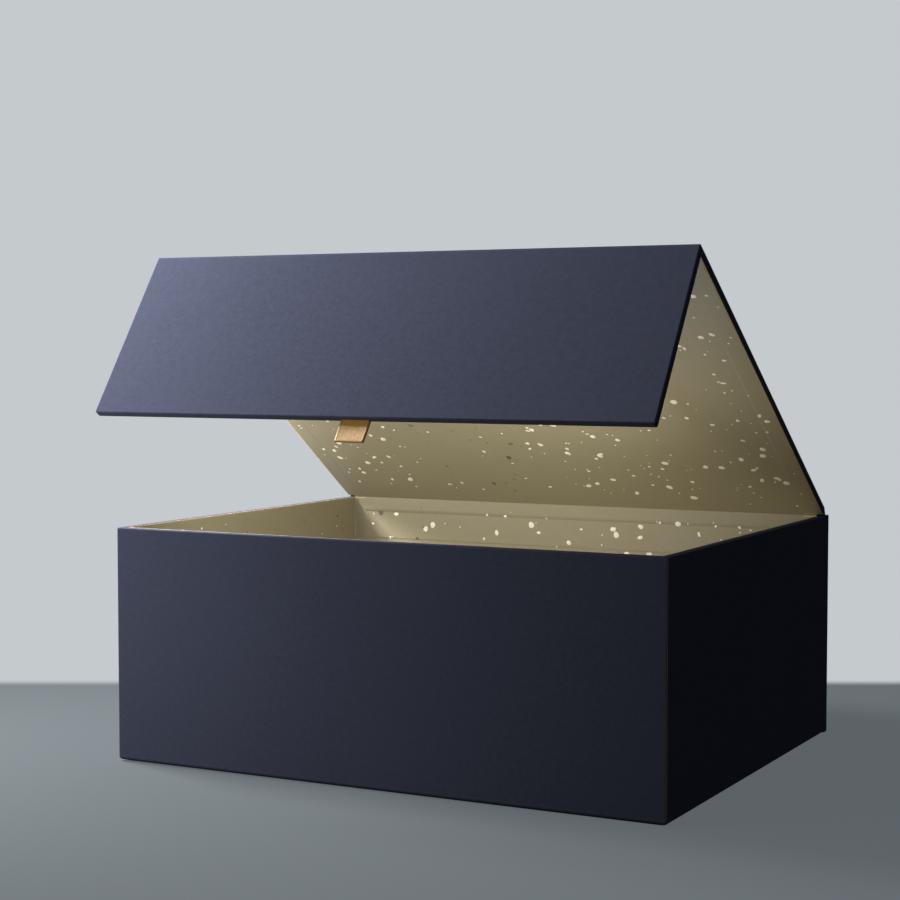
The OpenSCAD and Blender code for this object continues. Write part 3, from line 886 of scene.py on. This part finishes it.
class BoxPaper(bpy.types.PropertyGroup):
    fold_radius: FloatProperty(name="Fold radius",
                               description="Outer radius of the paper round a board's edge", default=0.00045,
                               unit="LENGTH")
    corner_radius: FloatProperty(name="Corner radius", description="Radius of the upright corners",
                                 default=0.0007, unit="LENGTH")
    foot_radius: FloatProperty(name="Foot radius", description="Radius of the tray's folded bottom edges",
                               default=0.002, unit="LENGTH")
    turn_in: FloatProperty(name="Turn-in", description="Paper folded behind the lid and the flap",
                           default=0.008, unit="LENGTH")
    spine_turn_in: FloatProperty(name="Spine turn-in", description="Paper folded behind the spine",
                                 default=0.012, unit="LENGTH")
    rim_turn_in: FloatProperty(name="Rim turn-in", description="Paper folded over the rim and down inside",
                               default=0.020, unit="LENGTH")
    seam_from_corner: FloatProperty(name="Seam from corner",
                                    description="Distance of the end panels' edge from a corner",
                                    default=0.0012, unit="LENGTH")
    seam_depth: FloatProperty(name="Seam depth", description="Step of the paper at that edge",
                              default=0.00008, unit="LENGTH")
    colour: FloatVectorProperty(name="Colour", description="Colour of the wrapping paper", subtype="COLOR",
                                size=3, min=0.0, max=1.0, default=(0.0590, 0.0655, 0.1020))


class BoxLining(bpy.types.PropertyGroup):
    inner_fold: FloatProperty(name="Floor fold", description="Radius of the fold between wall and floor",
                              default=0.0009, unit="LENGTH")
    corner_fold: FloatProperty(name="Corner fold", description="Radius of the lining in the upright corners",
                               default=0.0005, unit="LENGTH")
    border_step: FloatProperty(name="Border step", description="Rise of the lining over the turned-in paper",
                               default=0.0001, unit="LENGTH")
    colour: FloatVectorProperty(name="Colour", description="Colour of the lining", subtype="COLOR", size=3,
                                min=0.0, max=1.0, default=(0.293, 0.261, 0.169))
    # Painted highlight: the brighter gold that the lining's edges are painted, where they would catch the
    # light.
    edge_highlight_colour: FloatVectorProperty(name="Edge highlight colour", description="Colour of the lining's cut edge",
                                     subtype="COLOR", size=3, min=0.0, max=1.0, default=(0.72, 0.52, 0.24))


class BoxFlecks(bpy.types.PropertyGroup):
    spacing: FloatProperty(name="Spacing", description="One fleck for each square of this size",
                           default=0.0092, unit="LENGTH")
    smallest: FloatProperty(name="Smallest", description="Smallest diameter", default=0.0008, unit="LENGTH")
    largest: FloatProperty(name="Largest", description="Largest diameter", default=0.0039, unit="LENGTH")
    seed: IntProperty(name="Seed", description="Starting number of the scatter", default=17)
    pale_colour: FloatVectorProperty(name="Pale foil", description="Colour of bright foil", subtype="COLOR",
                                     size=3, min=0.0, max=1.0, default=(0.93, 0.90, 0.74))
    # Painted reflection: the dark brown of flecks painted as foil that mirrors shade.
    dark_colour: FloatVectorProperty(name="Dark foil", description="Colour of tarnished foil",
                                     subtype="COLOR", size=3, min=0.0, max=1.0, default=(0.075, 0.045, 0.018))


class BoxRibbon(bpy.types.PropertyGroup):
    thickness: FloatProperty(name="Thickness", description="Thickness of one layer of ribbon",
                             default=0.00036, unit="LENGTH")
    colour: FloatVectorProperty(name="Colour", description="Colour of the raised threads", subtype="COLOR",
                                size=3, min=0.0, max=1.0, default=(0.60, 0.345, 0.085))
    shade_colour: FloatVectorProperty(name="Shade", description="Colour between the threads", subtype="COLOR",
                                      size=3, min=0.0, max=1.0, default=(0.24, 0.12, 0.02))
    selvedge_colour: FloatVectorProperty(name="Selvedge", description="Colour of the woven edges",
                                         subtype="COLOR", size=3, min=0.0, max=1.0,
                                         default=(0.27, 0.11, 0.018))


class BoxStage(bpy.types.PropertyGroup):
    lens: FloatProperty(name="Lens", description="Focal length in millimetres", default=77.54)
    camera_spot: FloatVectorProperty(name="Camera", description="Where the camera stands",
                                     subtype="TRANSLATION", size=3, default=(0.3820, -0.7602, 0.1768))
    camera_azimuth: FloatProperty(name="Azimuth", description="Turn of the view from +Y", subtype="ANGLE",
                                  default=math.radians(27.729))
    camera_dip: FloatProperty(name="Dip", description="Tilt of the view below level", subtype="ANGLE",
                              default=math.radians(3.058))
    floor_colour: FloatVectorProperty(name="Floor", description="Colour of the floor", subtype="COLOR",
                                      size=3, min=0.0, max=1.0, default=(0.046, 0.051, 0.055))
    floor_end: FloatProperty(name="Floor end",
                             description="Distance of the floor's far edge behind the middle", default=0.152,
                             unit="LENGTH")
    floor_glow: FloatVectorProperty(name="Floor glow",
                                    description="Even colour added to the floor where it is seen",
                                    subtype="COLOR", size=3, min=0.0, max=1.0, default=(0.104, 0.120, 0.132))
    backdrop_colour: FloatVectorProperty(name="Backdrop", description="Colour of the backdrop",
                                         subtype="COLOR", size=3, min=0.0, max=1.0,
                                         default=(0.56, 0.59, 0.615))
    ambient_colour: FloatVectorProperty(name="Ambient", description="Colour of the even light",
                                        subtype="COLOR", size=3, min=0.0, max=1.0, default=(0.95, 0.97, 1.0))
    ambient: FloatProperty(name="Ambient strength", description="Strength of the even light", default=0.10)
    bounce: FloatProperty(name="Floor bounce",
                          description="Share of the floor's colour that lights other things", default=0.4)


SETTINGS = {"box_paper": BoxPaper, "box_lining": BoxLining, "box_flecks": BoxFlecks, "box_ribbon": BoxRibbon,
            "box_stage": BoxStage}


class BOX_OT_boards(bpy.types.Operator):
    """Give the boards, stays, card, discs and magnets their own finishes"""
    bl_idname = "closure_box.boards"
    bl_label = "Finish boards and fittings"

    def execute(self, context):
        looks = [finish_named(values[0], board, *values) for values in HIDDEN_FINISHES]
        grey, card, stay, steel = looks
        for node, item in frame["nodes"].items():
            if node.startswith(("steel", "magnet")):
                look = steel
            elif node.startswith("corner_stay"):
                look = stay
            else:
                look = card if node == "base_card" else grey
            item.data.materials.clear()
            item.data.materials.append(look)
        return {"FINISHED"}


class BOX_OT_papers(bpy.types.Operator):
    """Wrap the tray, spine, lid and flap in the outer paper"""
    bl_idname = "closure_box.papers"
    bl_label = "Wrap outer paper"

    def execute(self, context):
        paper = context.scene.box_paper
        look = finish_named("Navy wrapping paper", navy_paper)
        tray_paper(look)
        spine_mid = np.array([0, SPINE_HIGH[1], (SPINE_LOW[2] + RIM_Z) / 2])
        wrapped_panel("spine_paper", spine_mid, np.array([0.0, 1.0, 0.0]), HALF_W, (RIM_Z - SPINE_LOW[2]) / 2,
                      SPINE_HIGH[1] - SPINE_LOW[1], paper.spine_turn_in, look, body="tray", slot="spine_wrap",
                      replaced=("spine_wrap",))
        thick = 2 * HALF_T - PAPER_T
        lid_mid = on_lid(0.0, (LID_REAR + LID_FRONT) / 2, HALF_T)
        wrapped_panel("lid_paper", lid_mid, LID_UP, HALF_W, (LID_FRONT - LID_REAR) / 2 + 0.1 * MM, thick,
                      paper.turn_in, look, body="lid", slot="lid_wrap", replaced=("lid_wrap",))
        flap_mid = on_lid(0.0, RIDGE, (FLAP_FOOT + FLAP_TOP) / 2)
        wrapped_panel("flap_paper", flap_mid, LID_FORWARD, HALF_W, (FLAP_TOP - FLAP_FOOT) / 2, thick,
                      paper.turn_in, look, body="flap", slot="flap_wrap", replaced=("flap_wrap",))
        return {"FINISHED"}


class BOX_OT_hinges(bpy.types.Operator):
    """Bridge the two hinges with outer paper and with lining"""
    bl_idname = "closure_box.hinges"
    bl_label = "Bridge the hinges"

    def execute(self, context):
        navy = finish_named("Navy wrapping paper", navy_paper)
        gold = finish_named("Gold lining paper", gold_paper)
        # The bridging papers lie this far under the panels' papers, which lap over them
        tuck = 0.012 * MM
        # Outer paper: up the spine, along the rim as a groove, and up over the lid's rear edge
        rear = SPINE_HIGH[1] - tuck
        lid_end = lid_yz(LID_REAR + 0.5 * MM, HALF_T - tuck)
        groove = (TRAY_HIGH[1] - WALL_UPPER + 2 * MM, RIM_Z + 0.22 * MM)
        gutter = rounded_path([(rear, RIM_Z - 1.2 * MM), (rear, groove[1]), groove, lid_end,
                               lid_yz(LID_REAR + 3 * MM, HALF_T - tuck)], [0.6 * MM, 1 * MM, 1.2 * MM],
                              steps=8)
        bridge_paper("gutter_paper", gutter, navy, (0, *groove), (0, *lid_end), "lid_wrap")
        # Outer paper round the ridge, from the lid down onto the flap
        ridge = np.array([(LID_FRONT - 2 * MM, HALF_T - tuck), (RIDGE - tuck, HALF_T - tuck),
                          (RIDGE - tuck, HALF_T - 2.5 * MM)])
        ridge = rounded_path(ridge, [0.55 * MM], steps=8)
        bridge_paper("ridge_paper", lid_yz(ridge[:, 0], ridge[:, 1]), navy,
                     (0, *lid_yz(LID_FRONT - 0.1 * MM, HALF_T)), (0, *lid_yz(RIDGE, HALF_T - 0.6 * MM)),
                     "lid_wrap")
        # Lining: up the inner face of the rear wall and on under the lid
        face = TRAY_HIGH[1] - WALL_UPPER - 2 * LIFT
        under = PAPER_T - HALF_T
        crease = rounded_path([(face + 3 * LIFT, RIM_Z - 8 * MM), (face, RIM_Z - 5 * MM),
                               (face, RIM_Z + 0.25 * MM), lid_yz(LID_REAR + 0.3 * MM, under - LIFT),
                               lid_yz(LID_REAR + 4 * MM, under)], [1 * MM, 0.5 * MM, 2 * MM])[::-1]
        bridge_paper("hinge_gold_lining", crease, gold,
                     (0, *lid_yz(LID_REAR + 0.3 * MM, under)), (0, face, RIM_Z - 0.4 * MM), "hinge_lining",
                     0.05 * MM, HALF_W - WALL_UPPER)
        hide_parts("hinge_lining")
        # Lining inside the ridge
        inner = FLAP_INNER + PAPER_T
        corner = rounded_path([(LID_FRONT - 3 * MM, under), (inner, under), (inner, under - 3 * MM)],
                              [1.2 * MM], steps=8)[::-1]
        bridge_paper("ridge_gold_lining", lid_yz(corner[:, 0], corner[:, 1]), gold,
                     (0, *lid_yz(inner, under - 1.2 * MM)), (0, *lid_yz(inner - 1.2 * MM, under)),
                     "lid_lining", 0.05 * MM, LINING_HALF_W)
        return {"FINISHED"}


class BOX_OT_linings(bpy.types.Operator):
    """Lay the gold lining in the tray, the lid and the flap"""
    bl_idname = "closure_box.linings"
    bl_label = "Lay the lining"

    def execute(self, context):
        look = finish_named("Gold lining paper", gold_paper)
        tray_inner_lining(look)
        flat_lining("lid_gold_lining", lid_place, LINING_HALF_W, LID_REAR, LID_FRONT, None, look, "lid",
                    "lid_lining")
        flat_lining("flap_gold_lining", flap_place, LINING_HALF_W, -FLAP_LINING_TOP, -FLAP_LINING_LOW,
                    -FLAP_LINING_LOW, look, "flap", "flap_lining")
        return {"FINISHED"}


class BOX_OT_flecks(bpy.types.Operator):
    """Scatter the foil flecks over the lining"""
    bl_idname = "closure_box.flecks"
    bl_label = "Scatter foil flecks"

    def execute(self, context):
        look = finish_named("Pressed foil", foil)
        seed = context.scene.box_flecks.seed
        # Painted reflection: shares of flecks painted dark, more of them on the left wall.
        few_dark, many_dark = dark_evenly(0.12), dark_evenly(0.55)
        edge = 1 * MM
        half_u = LINING_HALF_W - edge
        fleck_piece("lid_foil_flecks", [(lid_place, (-half_u, half_u, LID_REAR + 4 * MM, LID_FRONT - 2 * MM),
                                         dark_in_middle)], look, "lid", "lid_flecks", seed)
        fleck_piece("flap_foil_flecks",
                    [(flap_place, (-half_u, half_u, -FLAP_LINING_TOP + edge, -FLAP_LINING_LOW - edge),
                      few_dark)], look, "flap", "flap_flecks", seed + 1)
        inside_u, inside_v = HALF_W - WALL_UPPER - 8 * MM, TRAY_HALF_D - WALL_UPPER - 8 * MM
        low, high = FLOOR_Z + 3 * MM, LINING_TOP_Z - edge
        fields = [(floor_place, (-inside_u, inside_u, -inside_v, inside_v), few_dark)]
        for side in (-1, 1):
            fields.append((wall_place(0, side), (-inside_v, inside_v, low, high),
                           many_dark if side < 0 else few_dark))
            top = high if side < 0 else RIM_Z - 3 * MM
            fields.append((wall_place(1, side), (-inside_u, inside_u, low, top), dark_at_left))
        fleck_piece("tray_foil_flecks", fields, look, "tray", "tray_flecks", seed + 2)
        return {"FINISHED"}


class BOX_OT_ribbon(bpy.types.Operator):
    """Make the folded ribbon tab of the flap"""
    bl_idname = "closure_box.ribbon"
    bl_label = "Make ribbon tab"

    def execute(self, context):
        ribbon_sheet(finish_named("Woven ribbon", woven_ribbon))
        return {"FINISHED"}


class BOX_OT_stage(bpy.types.Operator):
    """Set the floor, backdrop, softboxes and camera"""
    bl_idname = "closure_box.stage"
    bl_label = "Set the stage"

    def execute(self, context):
        corners = [(FLOOR_REACH * x, FLOOR_REACH * y, 0) for x, y in ((-1, -1), (1, -1), (1, 1), (-1, 1))]
        add_piece("studio_floor", corners, [[0, 1, 2, 3]], stage_floor_finish(), flat_faces=[0])
        stage_world()
        for lamp in LAMPS:
            add_lamp(*lamp)
        add_camera()
        return {"FINISHED"}


OPERATORS = [BOX_OT_boards, BOX_OT_papers, BOX_OT_hinges, BOX_OT_linings, BOX_OT_flecks, BOX_OT_ribbon,
             BOX_OT_stage]


class BOX_PT_closure(bpy.types.Panel):
    bl_idname = "BOX_PT_closure"
    bl_label = "Closure Box"
    bl_space_type = "VIEW_3D"
    bl_region_type = "UI"
    bl_category = "Closure Box"

    def draw(self, context):
        for name, group in SETTINGS.items():
            part = self.layout.box()
            for key in group.__annotations__:
                part.prop(getattr(context.scene, name), key)
        for operator in OPERATORS:
            self.layout.operator(operator.bl_idname)


def register():
    for item in [*SETTINGS.values(), *OPERATORS, BOX_PT_closure]:
        bpy.utils.register_class(item)
    for name, group in SETTINGS.items():
        setattr(bpy.types.Scene, name, PointerProperty(type=group))


def unregister():
    for name in SETTINGS:
        delattr(bpy.types.Scene, name)
    for item in reversed([*SETTINGS.values(), *OPERATORS, BOX_PT_closure]):
        bpy.utils.unregister_class(item)


def main():
    register()
    bpy.context.scene.view_settings.view_transform = "Standard"
    for step in ("boards", "papers", "hinges", "linings", "flecks", "ribbon", "stage"):
        getattr(bpy.ops.closure_box, step)()


if __name__ == "__main__":
    main()
